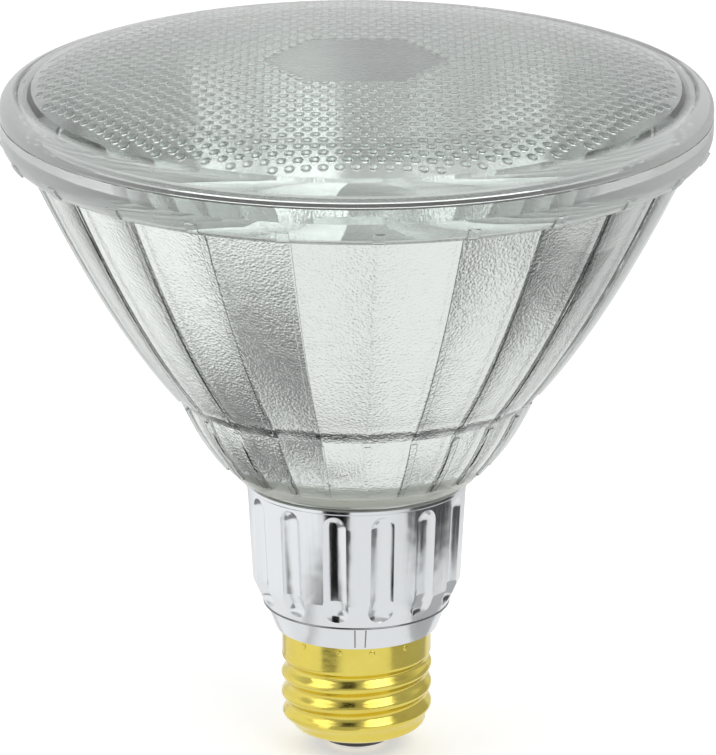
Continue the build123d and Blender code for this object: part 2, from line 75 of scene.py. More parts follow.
class BulbSizes(bpy.types.PropertyGroup):
    """Sizes of the details that are added to the solids."""
    stipple_pitch: bpy.props.FloatProperty(
        name="Stipple pitch", description="Distance between two stipples of the lens",
        default=2.7 * MM, unit="LENGTH")
    stipple_radius: bpy.props.FloatProperty(
        name="Stipple radius", description="Radius of one stipple",
        default=0.95 * MM, unit="LENGTH")
    stipple_height: bpy.props.FloatProperty(
        name="Stipple height", description="How far a stipple stands into the bulb",
        default=0.45 * MM, unit="LENGTH")
    stipple_zone: bpy.props.FloatProperty(
        name="Stipple zone", description="Radius of the stippled part of the lens",
        default=54.7 * MM, unit="LENGTH")
    patch_radius: bpy.props.FloatProperty(
        name="Frosted patch", description="Corner radius of the frosted hexagon in the middle of the lens",
        default=16.0 * MM, unit="LENGTH")
    cloudy_rim: bpy.props.FloatProperty(
        name="Cloudy rim", description="Radius outside which the glass is slightly cloudy",
        default=57.5 * MM, unit="LENGTH")
    mirror_low_z: bpy.props.FloatProperty(
        name="Mirror bottom", description="Height at which the mirror coating ends above the neck",
        default=52.8 * MM, unit="LENGTH")
    mirror_high_z: bpy.props.FloatProperty(
        name="Mirror top", description="Height at which the mirror coating ends under the flange",
        default=109.0 * MM, unit="LENGTH")
    mirror_depth: bpy.props.FloatProperty(
        name="Coating depth", description="How deep in the glass the middle of a mirror panel lies",
        default=0.06 * MM, unit="LENGTH")
    mirror_panels: bpy.props.IntProperty(
        name="Mirror panels", description="Number of flat panels round the mirror", default=24)
    mirror_phase: bpy.props.FloatProperty(
        name="Panel phase", description="Angle of the first rib between two panels", subtype="ANGLE",
        default=math.radians(3.5))
    collar_radius: bpy.props.FloatProperty(
        name="Collar radius", description="Outer radius of the screw shell's plain collar",
        default=12.95 * MM, unit="LENGTH")
    shell_wall: bpy.props.FloatProperty(
        name="Shell wall", description="Sheet thickness of the screw shell",
        default=0.35 * MM, unit="LENGTH")
    thread_major: bpy.props.FloatProperty(
        name="Thread major radius", description="Radius of the thread's crests",
        default=13.1 * MM, unit="LENGTH")
    thread_minor: bpy.props.FloatProperty(
        name="Thread minor radius", description="Radius of the thread's roots",
        default=12.2 * MM, unit="LENGTH")
    thread_pitch: bpy.props.FloatProperty(
        name="Thread pitch", description="Rise of the thread in one turn",
        default=3.629 * MM, unit="LENGTH")
    thread_root: bpy.props.FloatProperty(
        name="Thread root", description="Height of a root of the thread on the +X side",
        default=9.9 * MM, unit="LENGTH")
    thread_top: bpy.props.FloatProperty(
        name="Thread top", description="Height at which the thread has faded into the collar",
        default=17.9 * MM, unit="LENGTH")
    knuckle_top: bpy.props.FloatProperty(
        name="Knuckle top", description="Height at which the shell's bottom starts to turn in",
        default=7.6 * MM, unit="LENGTH")
    ledge_z: bpy.props.FloatProperty(
        name="Ledge height", description="Height of the ledge line on the skirt",
        default=26.9 * MM, unit="LENGTH")
    line_radius: bpy.props.FloatProperty(
        name="Line radius", description="Half the thickness of the ledge line",
        default=0.16 * MM, unit="LENGTH")
    mark_height: bpy.props.FloatProperty(
        name="Mark height", description="How far down the drawing marks reach",
        default=4.0 * MM, unit="LENGTH")
    mark_angles: bpy.props.FloatVectorProperty(
        name="Mark angles", description="Angles of the drawing marks from the front", unit="ROTATION",
        size=2, default=[math.radians(turn) for turn in (-1, 6)])
    stake_radius: bpy.props.FloatProperty(
        name="Stake radius", description="Radius of one staking prick on the collar",
        default=0.55 * MM, unit="LENGTH")
    stake_drop: bpy.props.FloatProperty(
        name="Stake drop", description="Distance of the staking pricks from the collar's top edge",
        default=1.1 * MM, unit="LENGTH")
    stake_angles: bpy.props.FloatVectorProperty(
        name="Stake angles", description="Angles of the staking pricks from the front", unit="ROTATION",
        size=4, default=[math.radians(turn) for turn in (-45, -13, 12, 41)])


class BulbColours(bpy.types.PropertyGroup):
    """Colours of the bulb's main finishes."""
    glass: bpy.props.FloatVectorProperty(
        name="Glass", description="Tint of the pressed glass", subtype="COLOR",
        size=3, min=0, max=1, default=(0.94, 0.97, 0.955))
    mirror: bpy.props.FloatVectorProperty(
        name="Mirror", description="Aluminium coating inside the bowl", subtype="COLOR",
        size=3, min=0, max=1, default=(0.94, 0.95, 0.94))
    skirt: bpy.props.FloatVectorProperty(
        name="Skirt", description="Bright aluminium of the skirt", subtype="COLOR",
        size=3, min=0, max=1, default=(0.80, 0.82, 0.84))
    brass: bpy.props.FloatVectorProperty(
        name="Brass", description="Rolled brass of the screw shell", subtype="COLOR",
        size=3, min=0, max=1, default=(0.84, 0.71, 0.155))


class BulbStage(bpy.types.PropertyGroup):
    """Camera and floor."""
    camera_place: bpy.props.FloatVectorProperty(
        name="Camera place", description="Where the camera stands", subtype="XYZ", unit="LENGTH",
        size=3, default=(0.0, -1.0610, 0.40386))
    camera_tilt: bpy.props.FloatProperty(
        name="Camera tilt", description="Angle by which the camera looks down", subtype="ANGLE",
        default=math.radians(17.644))
    camera_lens: bpy.props.FloatProperty(
        name="Focal length", description="Camera's focal length in millimetres", default=308.1)
    camera_shift: bpy.props.FloatVectorProperty(
        name="Camera shift", description="Shift of the picture sideways and up, as a share of its width",
        size=2, default=(0.0020, 0.0057))
    floor_side: bpy.props.FloatProperty(
        name="Floor side", description="Side of the square floor", default=14.0, unit="LENGTH")


# Lamps: name, place, side of the square and power in watts

LAMPS = (
    ("key_lamp", (0.75, -1.0, 1.0), 1.0, 6.0),
    ("fill_lamp", (-1.1, -0.5, 0.8), 0.8, 3.0),
    ("top_lamp", (0.0, 0.4, 1.4), 1.2, 5.0),
)

# Glowing cards that only reflections see, painting dark, grey and pale reflections onto the metal: name,
# place, turn in degrees, width, height and brightness

CARDS = (
    ("dark_card", (-0.0076, -0.0285, 0.037), 0, 0.0108, 0.022, 0.01),
    ("grey_card", (0.099, -0.014, 0.015), 82, 0.115, 0.030, 0.08),
    ("pale_card", (-0.028, -0.004, 0.011), -90, 0.046, 0.020, 1.0),
    ("right_card", (0.030, -0.006, 0.011), 90, 0.044, 0.020, 0.50),
)

GLASS_IOR = 1.47
CLOUDY_TRANSMISSION = 0.45


# Tools for shaping

def settings():
    """The three groups of sizes, colours and stage values."""
    scene = bpy.context.scene
    return scene.bulb_sizes, scene.bulb_colours, scene.bulb_stage


def deselect():
    """Leaves edit mode and selects nothing."""
    if bpy.context.object is not None and bpy.context.object.mode != "OBJECT":
        object_mode()
    bpy.ops.object.select_all(action="DESELECT")


def named(name):
    """The active object, under its own name."""
    piece = bpy.context.object
    piece.name = name
    piece.data.name = name
    return piece


def edit():
    """Edit mode with all of the active mesh selected."""
    bpy.ops.object.mode_set(mode="EDIT")
    bpy.ops.mesh.select_all(action="SELECT")


def object_mode():
    """Back to object mode."""
    bpy.ops.object.mode_set(mode="OBJECT")


def apply_modifier(piece, kind, **options):
    """Adds a modifier and applies it."""
    modifier = piece.modifiers.new(kind.lower(), kind)
    for key, value in options.items():
        setattr(modifier, key, value)
    bpy.ops.object.modifier_apply(modifier=modifier.name)


def finish_piece(piece, material, smooth):
    """Gives a piece its material and body, and smooth faces up to an angle in degrees."""
    piece.data.materials.clear()
    piece.data.materials.append(material)
    deselect()
    piece.select_set(True)
    bpy.context.view_layer.objects.active = piece
    bpy.ops.object.shade_smooth_by_angle(angle=math.radians(smooth))
    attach(piece, "root")


def dress(name, material):
    """Puts a material on a CAD node."""
    node = nodes[name]
    node.data.materials.clear()
    node.data.materials.append(material)


def surface_of(name):
    """Function that gives the point where a ray first meets a CAD node."""
    tree = BVHTree.FromObject(nodes[name], bpy.context.evaluated_depsgraph_get())

    def hit(start, way):
        place = tree.ray_cast(Vector(start), Vector(way))[0]
        if place is None:
            raise RuntimeError(f"no surface of {name} at {tuple(start)}")
        return place

    return hit


# Tools for finishes

def set_range(node, low, high, to_low, to_high):
    """Sets the two ranges of a Map Range node."""
    keys = ("From Min", "From Max", "To Min", "To Max")
    for key, number in zip(keys, (low, high, to_low, to_high)):
        node.inputs[key].default_value = number


SOCKETS = {
    "base": "Base Color",
    "metallic": "Metallic",
    "roughness": "Roughness",
    "ior": "IOR",
    "transmission": "Transmission Weight",
    "coat": "Coat Weight",
    "specular": "Specular IOR Level",
}


class Finish:
    """A material that is put together node by node round one Principled shader."""

    def __init__(self, name, **constants):
        self.material = bpy.data.materials.new(name)
        self.material.use_nodes = True
        self.tree = self.material.node_tree
        self.shader = self.tree.nodes["Principled BSDF"]
        self.output = self.tree.nodes["Material Output"]
        self.place = self.add("ShaderNodeTexCoord").outputs["Object"]
        for key, value in constants.items():
            socket = self.shader.inputs[SOCKETS[key]]
            socket.default_value = (*value[:3], 1.0) if key == "base" else value

    def add(self, kind, **options):
        """Adds a node and sets its attributes."""
        node = self.tree.nodes.new(kind)
        for key, value in options.items():
            setattr(node, key, value)
        return node

    def join(self, source, target):
        """Links an output to an input."""
        self.tree.links.new(source, target)

    def scaled(self, scale):
        """Object coordinates, scaled by three factors."""
        mapping = self.add("ShaderNodeMapping")
        mapping.inputs["Scale"].default_value = scale
        self.join(self.place, mapping.inputs["Vector"])
        return mapping.outputs["Vector"]

    def noise(self, scale, detail=4.0, roughness=0.55, vector=None):
        """Noise from 0 to 1 at a scale per metre."""
        node = self.add("ShaderNodeTexNoise")
        node.inputs["Scale"].default_value = scale
        node.inputs["Detail"].default_value = detail
        node.inputs["Roughness"].default_value = roughness
        self.join(vector or self.place, node.inputs["Vector"])
        return node.outputs["Fac"]

    def cells(self, scale, vector=None, feature="F1"):
        """Cell pattern at a scale per metre."""
        node = self.add("ShaderNodeTexVoronoi", feature=feature)
        node.inputs["Scale"].default_value = scale
        self.join(vector or self.place, node.inputs["Vector"])
        return node.outputs["Distance"]

    def spread(self, value, low, high, to_low=0.0, to_high=1.0):
        """Maps a value's range to another, held at its ends."""
        node = self.add("ShaderNodeMapRange")
        set_range(node, low, high, to_low, to_high)
        self.join(value, node.inputs["Value"])
        return node.outputs["Result"]

    def math(self, operation, first, second=None):
        """One arithmetic step on sockets or numbers."""
        node = self.add("ShaderNodeMath", operation=operation)
        for index, value in enumerate((first, second)):
            if isinstance(value, (int, float)):
                node.inputs[index].default_value = value
            elif value is not None:
                self.join(value, node.inputs[index])
        return node.outputs["Value"]

    def rim_share(self, start):
        """Cloudiness from 0 inside a radius to 1 outside it, strongest at the left and right where the rim is
        seen edge on; the extra cloudiness there is painted light that lightens the rim's ends.
        """
        # Painted light: the cloudiness rises from 0.3 at the front and back to 1 at the left and right ends,
        # to lighten them.
        side = self.spread(self.math("ABSOLUTE", self.axes()[0]), 25 * MM, 55 * MM, 0.3, 1.0)
        return self.math("MULTIPLY", self.spread(self.radius(), start, start + 1 * MM), side)

    def radius(self):
        """Distance from the object's vertical axis."""
        x, y, _ = self.axes()
        return self.math("SQRT", self.math("ADD", self.squared(x, 0, 1), self.squared(y, 0, 1)))

    def squared(self, value, middle, width):
        """Square of a value's distance from a middle, counted in widths."""
        return self.math("POWER", self.math("DIVIDE", self.math("SUBTRACT", value, middle), width), 2.0)

    def axes(self):
        """The x, y and z of the object's own place, in metres."""
        node = self.add("ShaderNodeSeparateXYZ")
        self.join(self.place, node.inputs["Vector"])
        return node.outputs["X"], node.outputs["Y"], node.outputs["Z"]

    def blend(self, factor, first, second):
        """Colour between two colours."""
        node = self.add("ShaderNodeMix", data_type="RGBA")
        self.join(factor, node.inputs[0])
        for index, value in ((6, first), (7, second)):
            node.inputs[index].default_value = (*value[:3], 1.0)
        return node.outputs[2]

    def bump(self, height, strength, distance, normal=None):
        """Normal from a height; distance is in metres."""
        node = self.add("ShaderNodeBump")
        node.inputs["Strength"].default_value = strength
        node.inputs["Distance"].default_value = distance
        self.join(height, node.inputs["Height"])
        if normal is not None:
            self.join(normal, node.inputs["Normal"])
        return node.outputs["Normal"]

    def lit(self, shader, strength):
        """A shader with white light of a given strength added."""
        glow = self.add("ShaderNodeEmission")
        self.join(strength, glow.inputs["Strength"])
        both = self.add("ShaderNodeAddShader")
        self.join(shader, both.inputs[0])
        self.join(glow.outputs["Emission"], both.inputs[1])
        return both.outputs["Shader"]

    def mixed(self, factor, first, second):
        """Mix of two shaders."""
        node = self.add("ShaderNodeMixShader")
        for index, socket in enumerate((factor, first, second)):
            self.join(socket, node.inputs[index])
        return node.outputs["Shader"]

    def colour(self, socket):
        """Sets the shader's colour from a socket."""
        self.join(socket, self.shader.inputs["Base Color"])

    def rough(self, socket):
        """Sets the shader's roughness from a socket."""
        self.join(socket, self.shader.inputs["Roughness"])

    def normal(self, socket):
        """Sets the shader's normal from a socket."""
        self.join(socket, self.shader.inputs["Normal"])

    def clouded(self, share):
        """Lets less light through where the glass is cloudy."""
        clear = self.spread(share, 0.0, 1.0, 1.0, CLOUDY_TRANSMISSION)
        self.join(clear, self.shader.inputs["Transmission Weight"])


# Finishes

def lens_glass(sizes, colours):
    """Clear pressed glass, finely frosted in a hexagon on its inner face and cloudy at the rim."""
    glass = Finish("lens_glass", base=colours.glass, roughness=0.0, ior=GLASS_IOR, transmission=1.0)
    x, y, z = glass.axes()
    slope = math.radians(30)
    side = sizes.patch_radius * math.cos(slope)
    reach = glass.math("ABSOLUTE", y)
    for sign in (1, -1):
        along = glass.math("MULTIPLY", x, math.cos(slope))
        across = glass.math("MULTIPLY", y, sign * math.sin(slope))
        slanted = glass.math("ADD", along, across)
        reach = glass.math("MAXIMUM", reach, glass.math("ABSOLUTE", slanted))
    inside = glass.spread(reach, side - 0.2 * MM, side + 0.2 * MM, 1.0, 0.0)
    radius = glass.radius()
    # The inner face is what lies under a level that drops with the dome.
    share = glass.math("DIVIDE", radius, sizes.stipple_zone)
    drop = glass.math("MULTIPLY", glass.math("POWER", share, 2.0), 4 * MM)
    under_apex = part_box("lens")[1].z - 2.0 * MM
    inner = glass.math("LESS_THAN", z, glass.math("SUBTRACT", under_apex, drop))
    frosted = glass.math("MULTIPLY", inside, inner)
    zone = glass.math("MULTIPLY", glass.math("LESS_THAN", radius, sizes.stipple_zone), inner)
    frosted_rough = glass.math("MULTIPLY", frosted, 0.34)
    zone_rough = glass.math("MULTIPLY", zone, 0.12)
    glass.rough(glass.math("MAXIMUM", frosted_rough, zone_rough))
    glass.clouded(glass.rim_share(sizes.cloudy_rim))
    grain = glass.math("MULTIPLY", glass.noise(2600, 2.0), frosted)
    wave = glass.bump(glass.noise(60, 2.0), 0.12, 0.4 * MM)
    glass.normal(glass.bump(grain, 0.5, 0.12 * MM, wave))
    return glass.material


def stipple_glass(colours):
    """The lens's glass where it is pressed into stipples."""
    glass = Finish("stipple_glass", base=colours.glass, roughness=0.02, ior=GLASS_IOR, transmission=1.0)
    glass.normal(glass.bump(glass.noise(700, 2.0), 0.15, 0.1 * MM))
    return glass.material


def bowl_glass(sizes, colours):
    """Pressed glass of the bowl, with the slight waves of its mould, olive and cloudy at the bare neck."""
    glass = Finish("bowl_glass", roughness=0.0, ior=GLASS_IOR, transmission=1.0)
    height = glass.axes()[2]
    bare = glass.spread(height, sizes.mirror_low_z - 0.5 * MM, sizes.mirror_low_z + 0.2 * MM, 1.0, 0.0)
    glass.colour(glass.blend(bare, colours.glass, (0.80, 0.84, 0.74)))
    glass.clouded(glass.math("MAXIMUM", bare, glass.rim_share(sizes.cloudy_rim)))
    wave = glass.bump(glass.noise(70, 2.0), 0.07, 0.4 * MM)
    glass.normal(glass.bump(glass.noise(1200, 2.0), 0.04, 0.05 * MM, wave))
    return glass.material


def mirror_coating(colours):
    """Aluminium coating with the fine grain of the glass under it."""
    coat = Finish("mirror_coating", base=colours.mirror, metallic=1.0)
    grain = coat.math("ADD", coat.cells(1900), coat.noise(3000, 1.0, 0.5))
    coat.normal(coat.bump(grain, 0.45, 0.07 * MM))
    coat.rough(coat.spread(coat.noise(500, 2.0), 0.3, 0.7, 0.12, 0.2))
    return coat.material


def bright_aluminium(name, base):
    """Bright pressed aluminium with drawing marks along the axis."""
    metal = Finish(name, base=base, metallic=1.0)
    marks = metal.noise(1500, 3.0, 0.6, metal.scaled((1, 1, 0.04)))
    metal.rough(metal.spread(marks, 0.25, 0.75, 0.10, 0.24))
    dents = metal.bump(metal.noise(120, 2.0), 0.22, 0.6 * MM)
    metal.normal(metal.bump(marks, 0.08, 0.05 * MM, dents))
    return metal.material


def rolled_brass(name, base):
    """Bright rolled brass, a little darker in patches and finely scuffed."""
    metal = Finish(name, base=base, metallic=1.0)
    tone = metal.spread(metal.noise(140, 3.0), 0.35, 0.7)
    metal.colour(metal.blend(tone, base, [c * f for c, f in zip(base, (0.95, 0.90, 0.78))]))
    scuffs = metal.noise(2200, 3.0, 0.65, metal.scaled((0.25, 0.25, 1.0)))
    metal.rough(metal.spread(scuffs, 0.3, 0.75, 0.13, 0.30))
    waves = metal.bump(metal.noise(200, 2.0), 0.25, 0.3 * MM)
    metal.normal(metal.bump(scuffs, 0.10, 0.04 * MM, waves))
    return metal.material


def grainy(name, base, dark, roughness=0.5, scale=700, depth=0.06, metallic=0.0, coat=0.0):
    """Plain solid finish with a fine grain, a slow change of tone and a little relief."""
    plain = Finish(name, metallic=metallic, coat=coat)
    plain.colour(plain.blend(plain.spread(plain.noise(80, 3.0), 0.3, 0.7), base, dark))
    grain = plain.noise(scale, 4.0, 0.6)
    plain.rough(plain.spread(grain, 0.25, 0.75, roughness * 0.8, min(1.0, roughness * 1.2)))
    plain.normal(plain.bump(grain, 0.35, depth * MM))
    return plain.material


def board_mask():
    """Green solder mask with copper tracks showing through."""
    mask = Finish("board_mask", roughness=0.35, coat=0.4)
    tracks = mask.spread(mask.cells(260, mask.scaled((1.0, 1.0, 0.45)), "DISTANCE_TO_EDGE"), 0.05, 0.09)
    mask.colour(mask.blend(tracks, (0.09, 0.36, 0.17), (0.04, 0.22, 0.10)))
    mask.normal(mask.bump(tracks, 0.4, 0.05 * MM))
    return mask.material


def emitter_face():
    """White package with a yellow phosphor window on top."""
    face = Finish("emitter_face", roughness=0.35, coat=0.3)
    window = face.math("GREATER_THAN", face.axes()[2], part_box("led_emitters")[1].z - 0.2 * MM)
    face.colour(face.blend(window, (0.9, 0.9, 0.86), (0.93, 0.74, 0.12)))
    face.normal(face.bump(face.noise(2500, 3.0), 0.2, 0.03 * MM))
    return face.material


def banded(name, base, band, spacing, width, axis=2, roughness=0.4):
    """Solid finish with bands across one axis, as on a winding or a sleeve."""
    piece = Finish(name)
    wave = piece.math("FRACT", piece.math("DIVIDE", piece.axes()[axis], spacing))
    piece.colour(piece.blend(piece.math("LESS_THAN", wave, width), base, band))
    piece.normal(piece.bump(piece.math("PINGPONG", wave, 0.5), 0.4, 0.15 * MM))
    piece.rough(piece.spread(piece.noise(900, 3.0), 0.3, 0.7, roughness * 0.8, roughness * 1.25))
    return piece.material


# Pieces

class BULB_OT_glass(bpy.types.Operator):
    """Gives the lens, its seal and the bowl their glass and silicone"""
    bl_idname = "bulb.glass"
    bl_label = "Lens and bowl glass"

    def execute(self, context):
        sizes, colours, _ = settings()
        dress("lens", lens_glass(sizes, colours))
        dress("reflector", bowl_glass(sizes, colours))
        dress("lens_seal", grainy(
            "seal_silicone", (0.66, 0.69, 0.66), (0.58, 0.61, 0.58), 0.35, 500, 0.05))
        return {"FINISHED"}


class BULB_OT_stipples(bpy.types.Operator):
    """Presses the stipples into the lens's inner face"""
    bl_idname = "bulb.stipples"
    bl_label = "Lens stipples"

    def execute(self, context):
        sizes, colours, _ = settings()
        pitch = sizes.stipple_pitch
        row = pitch * math.sin(math.radians(60))
        columns = 2 * math.ceil(sizes.stipple_zone / pitch) + 1
        pairs = 2 * math.ceil(sizes.stipple_zone / row / 2) + 1
        deselect()
        field = self.one_stipple(sizes)
        corners = len(field.data.vertices)
        for offset, count in (((pitch / 2, row, 0), 2), ((pitch, 0, 0), columns), ((0, 2 * row, 0), pairs)):
            apply_modifier(field, "ARRAY", use_relative_offset=False, use_constant_offset=True,
                           constant_offset_displace=offset, count=count)
        edit()
        bpy.ops.transform.translate(value=(-(columns // 2) * pitch, -(pairs // 2) * 2 * row, 0))
        object_mode()
        self.keep_zone(field, corners, sizes)
        inner_face = surface_of("lens")
        below = 100 * MM
        places = []
        for vertex in field.data.vertices:
            x, y, z = vertex.co
            places += [x, y, z + inner_face((x, y, below), (0, 0, 1)).z]
        field.data.vertices.foreach_set("co", places)
        field.data.update()
        finish_piece(field, stipple_glass(colours), 70)
        return {"FINISHED"}

    def one_stipple(self, sizes):
        """A disc just inside the glass, drawn down and in to a rounded tip."""
        bury = 0.06 * MM
        bpy.ops.mesh.primitive_circle_add(
            vertices=10, radius=sizes.stipple_radius, fill_type="NGON", location=(0, 0, 0))
        stipple = named("lens_stipples")
        edit()
        bpy.ops.transform.translate(value=(0, 0, bury))
        size, depth = 1.0, -bury
        for share, drop in ((0.94, 0.30), (0.74, 0.68), (0.40, 0.94), (0.06, 1.0)):
            goal = drop * sizes.stipple_height
            bpy.ops.mesh.extrude_region_move(TRANSFORM_OT_translate={"value": (0, 0, depth - goal)})
            bpy.ops.transform.resize(value=(share / size, share / size, 1), center_override=(0, 0, -goal))
            size, depth = share, goal
        bpy.ops.mesh.select_all(action="SELECT")
        bpy.ops.mesh.normals_make_consistent(inside=False)
        object_mode()
        return stipple

    def keep_zone(self, field, corners, sizes):
        """Deletes the stipples outside the zone and inside the frosted hexagon."""
        mesh = field.data
        edit()
        bpy.ops.mesh.select_all(action="DESELECT")
        object_mode()
        slope = math.radians(30)
        side = sizes.patch_radius * math.cos(slope)
        places = [tuple(vertex.co) for vertex in mesh.vertices]
        chosen = []
        for first in range(0, len(places), corners):
            group = places[first:first + corners]
            x = sum(place[0] for place in group) / corners
            y = sum(place[1] for place in group) / corners
            reach = max(abs(y), *(abs(x * math.cos(slope) + s * y * math.sin(slope)) for s in (1, -1)))
            outside = reach < side or math.hypot(x, y) > sizes.stipple_zone - sizes.stipple_radius
            chosen += [outside] * corners
        mesh.vertices.foreach_set("select", chosen)
        bpy.ops.object.mode_set(mode="EDIT")
        bpy.ops.mesh.delete(type="VERT")
        object_mode()


class BULB_OT_mirror(bpy.types.Operator):
    """Lays the mirror coating on the inside of the bowl"""
    bl_idname = "bulb.mirror"
    bl_label = "Mirror coating"

    def execute(self, context):
        sizes, colours, _ = settings()
        rings = 44
        coating_t = 0.04 * MM
        heights = [sizes.mirror_high_z + (sizes.mirror_low_z - sizes.mirror_high_z) * i / rings
                   for i in range(rings + 1)]
        inner_face = surface_of("reflector")
        flat = math.cos(math.pi / sizes.mirror_panels)
        radii = [(inner_face((0, 0, z), (1, 0, 0)).x + sizes.mirror_depth) / flat for z in heights]
        deselect()
        bpy.ops.mesh.primitive_circle_add(
            vertices=sizes.mirror_panels, radius=radii[0], location=(0, 0, heights[0]),
            rotation=(0, 0, sizes.mirror_phase + math.radians(90)))
        coating = named("mirror_coating")
        bpy.ops.object.transform_apply(location=True, rotation=True, scale=True)
        edit()
        for i in range(rings):
            bpy.ops.mesh.extrude_region_move(
                TRANSFORM_OT_translate={"value": (0, 0, heights[i + 1] - heights[i])})
            bpy.ops.transform.resize(
                value=(radii[i + 1] / radii[i], radii[i + 1] / radii[i], 1),
                center_override=(0, 0, heights[i + 1]))
        bpy.ops.mesh.select_all(action="SELECT")
        bpy.ops.mesh.normals_make_consistent(inside=False)
        object_mode()
        apply_modifier(coating, "SOLIDIFY", thickness=coating_t, offset=1.0)
        finish_piece(coating, mirror_coating(colours), 8)
        return {"FINISHED"}


class BULB_OT_screw_shell(bpy.types.Operator):
    """Rolls the screw shell with its helical thread"""
    bl_idname = "bulb.screw_shell"
    bl_label = "Screw shell"

    def execute(self, context):
        sizes, colours, _ = settings()
        steps = 96
        thread_rows = 72
        knuckle_rows = 12
        lip = 0.4 * MM
        low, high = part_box("screw_shell")
        wall = sizes.shell_wall
        deselect()
        bpy.ops.mesh.primitive_circle_add(vertices=steps, radius=sizes.collar_radius, location=(0, 0, high.z))
        shell = named("threaded_shell")
        bpy.ops.object.transform_apply(location=True, rotation=True, scale=True)
        edit()
        heights = [high.z - lip, sizes.thread_top]
        span = sizes.thread_top - sizes.knuckle_top
        heights += [sizes.thread_top - span * (i + 1) / thread_rows for i in range(thread_rows)]
        level = high.z
        for z in heights:
            bpy.ops.mesh.extrude_region_move(TRANSFORM_OT_translate={"value": (0, 0, z - level)})
            level = z
        drop = sizes.knuckle_top - low.z
        size = 1.0
        for i in range(1, knuckle_rows + 1):
            turn = math.radians(90) * i / knuckle_rows
            z = sizes.knuckle_top - drop * math.sin(turn)
            share = (sizes.collar_radius - drop * (1 - math.cos(turn))) / sizes.collar_radius
            bpy.ops.mesh.extrude_region_move(TRANSFORM_OT_translate={"value": (0, 0, z - level)})
            bpy.ops.transform.resize(value=(share / size, share / size, 1), center_override=(0, 0, z))
            size, level = share, z
        object_mode()
        self.roll_thread(shell, sizes)
        edit()
        bpy.ops.mesh.normals_make_consistent(inside=False)
        object_mode()
        apply_modifier(shell, "SOLIDIFY", thickness=wall, offset=-1.0)
        finish_piece(shell, rolled_brass("shell_brass", colours.brass), 40)
        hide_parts("screw_shell")
        return {"FINISHED"}

    def roll_thread(self, shell, sizes):
        """Moves the wall in and out along a right-hand helix, fading out at the collar."""
        middle = (sizes.thread_major + sizes.thread_minor) / 2
        depth = (sizes.thread_major - sizes.thread_minor) / 2
        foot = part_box("screw_shell")[0].z
        fade = 0.45 * sizes.thread_pitch
        rise = 2.2 * MM
        places = []
        for vertex in shell.data.vertices:
            x, y, z = vertex.co
            if z > sizes.thread_top:
                places += [x, y, z]
                continue
            r = math.hypot(x, y)
            turn = math.atan2(y, x) / (2 * math.pi)
            phase = (z - sizes.thread_root) / sizes.thread_pitch - turn
            wave = -math.cos(2 * math.pi * phase)
            top = min(1.0, (sizes.thread_top - z) / fade)
            knuckle = min(1.0, (z - foot) / rise)
            goal = middle + depth * wave
            target = sizes.collar_radius + (goal - sizes.collar_radius) * top
            new_r = r + (target - sizes.collar_radius) * (knuckle if z < sizes.knuckle_top else 1.0)
            places += [x / r * new_r, y / r * new_r, z]
        shell.data.vertices.foreach_set("co", places)
        shell.data.update()


class BULB_OT_stakes(bpy.types.Operator):
    """Presses the staking pricks into the top of the brass collar"""
    bl_idname = "bulb.stakes"
    bl_label = "Staking pricks"

    def execute(self, context):
        sizes, colours, _ = settings()
        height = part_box("screw_shell")[1].z - sizes.stake_drop
        deselect()
        for i, turn in enumerate(sizes.stake_angles):
            angle = turn - math.radians(90)
            x = sizes.collar_radius * math.cos(angle)
            y = sizes.collar_radius * math.sin(angle)
            bpy.ops.mesh.primitive_uv_sphere_add(
                segments=20, ring_count=10, radius=sizes.stake_radius, location=(x, y, height),
                rotation=(0, 0, angle), scale=(0.35, 1, 1))
            named(f"stake_{i}")
        for piece in [item for item in bpy.data.objects if item.name.startswith("stake_")]:
            piece.select_set(True)
        bpy.ops.object.join()
        stakes = named("staking_pricks")
        bpy.ops.object.transform_apply(location=True, rotation=True, scale=True)
        finish_piece(stakes, rolled_brass("stake_brass", colours.brass), 60)
        return {"FINISHED"}


class BULB_OT_ledge(bpy.types.Operator):
    """Rolls the line on the skirt's ledge, darkened as painted shade in its crease, and the two drawing marks
    under it
    """
    bl_idname = "bulb.ledge"
    bl_label = "Ledge line and marks"

    def execute(self, context):
        sizes, colours, _ = settings()
        outer_face = surface_of("skirt")
        outside = 50 * MM
        deselect()
        ledge_r = outer_face((outside, 0, sizes.ledge_z + 0.05 * MM), (-1, 0, 0)).x
        bpy.ops.mesh.primitive_torus_add(
            major_segments=160, minor_segments=10, major_radius=ledge_r,
            minor_radius=sizes.line_radius, location=(0, 0, sizes.ledge_z))
        marks = [named("ledge_line")]
        high_z = sizes.ledge_z - 0.5 * MM
        low_z = sizes.ledge_z - sizes.mark_height
        for turn in sizes.mark_angles:
            angle = turn - math.radians(90)
            way = Vector((math.cos(angle), math.sin(angle), 0))
            high = outer_face(way * outside + Vector((0, 0, high_z)), -way)
            low = outer_face(way * outside + Vector((0, 0, low_z)), -way)
            tilt = (high - low).to_track_quat("Z", "Y").to_euler()
            bpy.ops.mesh.primitive_cylinder_add(
                vertices=10, radius=sizes.line_radius * 0.8, depth=(high - low).length,
                location=(high + low) / 2, rotation=tilt)
            marks.append(bpy.context.object)
        for piece in marks:
            piece.select_set(True)
        bpy.context.view_layer.objects.active = marks[0]
        bpy.ops.object.join()
        bpy.ops.object.transform_apply(location=True, rotation=True, scale=True)
        # Painted shade: the line takes the skirt's aluminium darkened to about a third, standing in for shade
        # in the ledge's crease; the drawing marks take the same darker tone.
        darkened_tone = [channel * 0.35 for channel in colours.skirt]
        finish_piece(marks[0], bright_aluminium("ledge_aluminium", darkened_tone), 60)
        return {"FINISHED"}


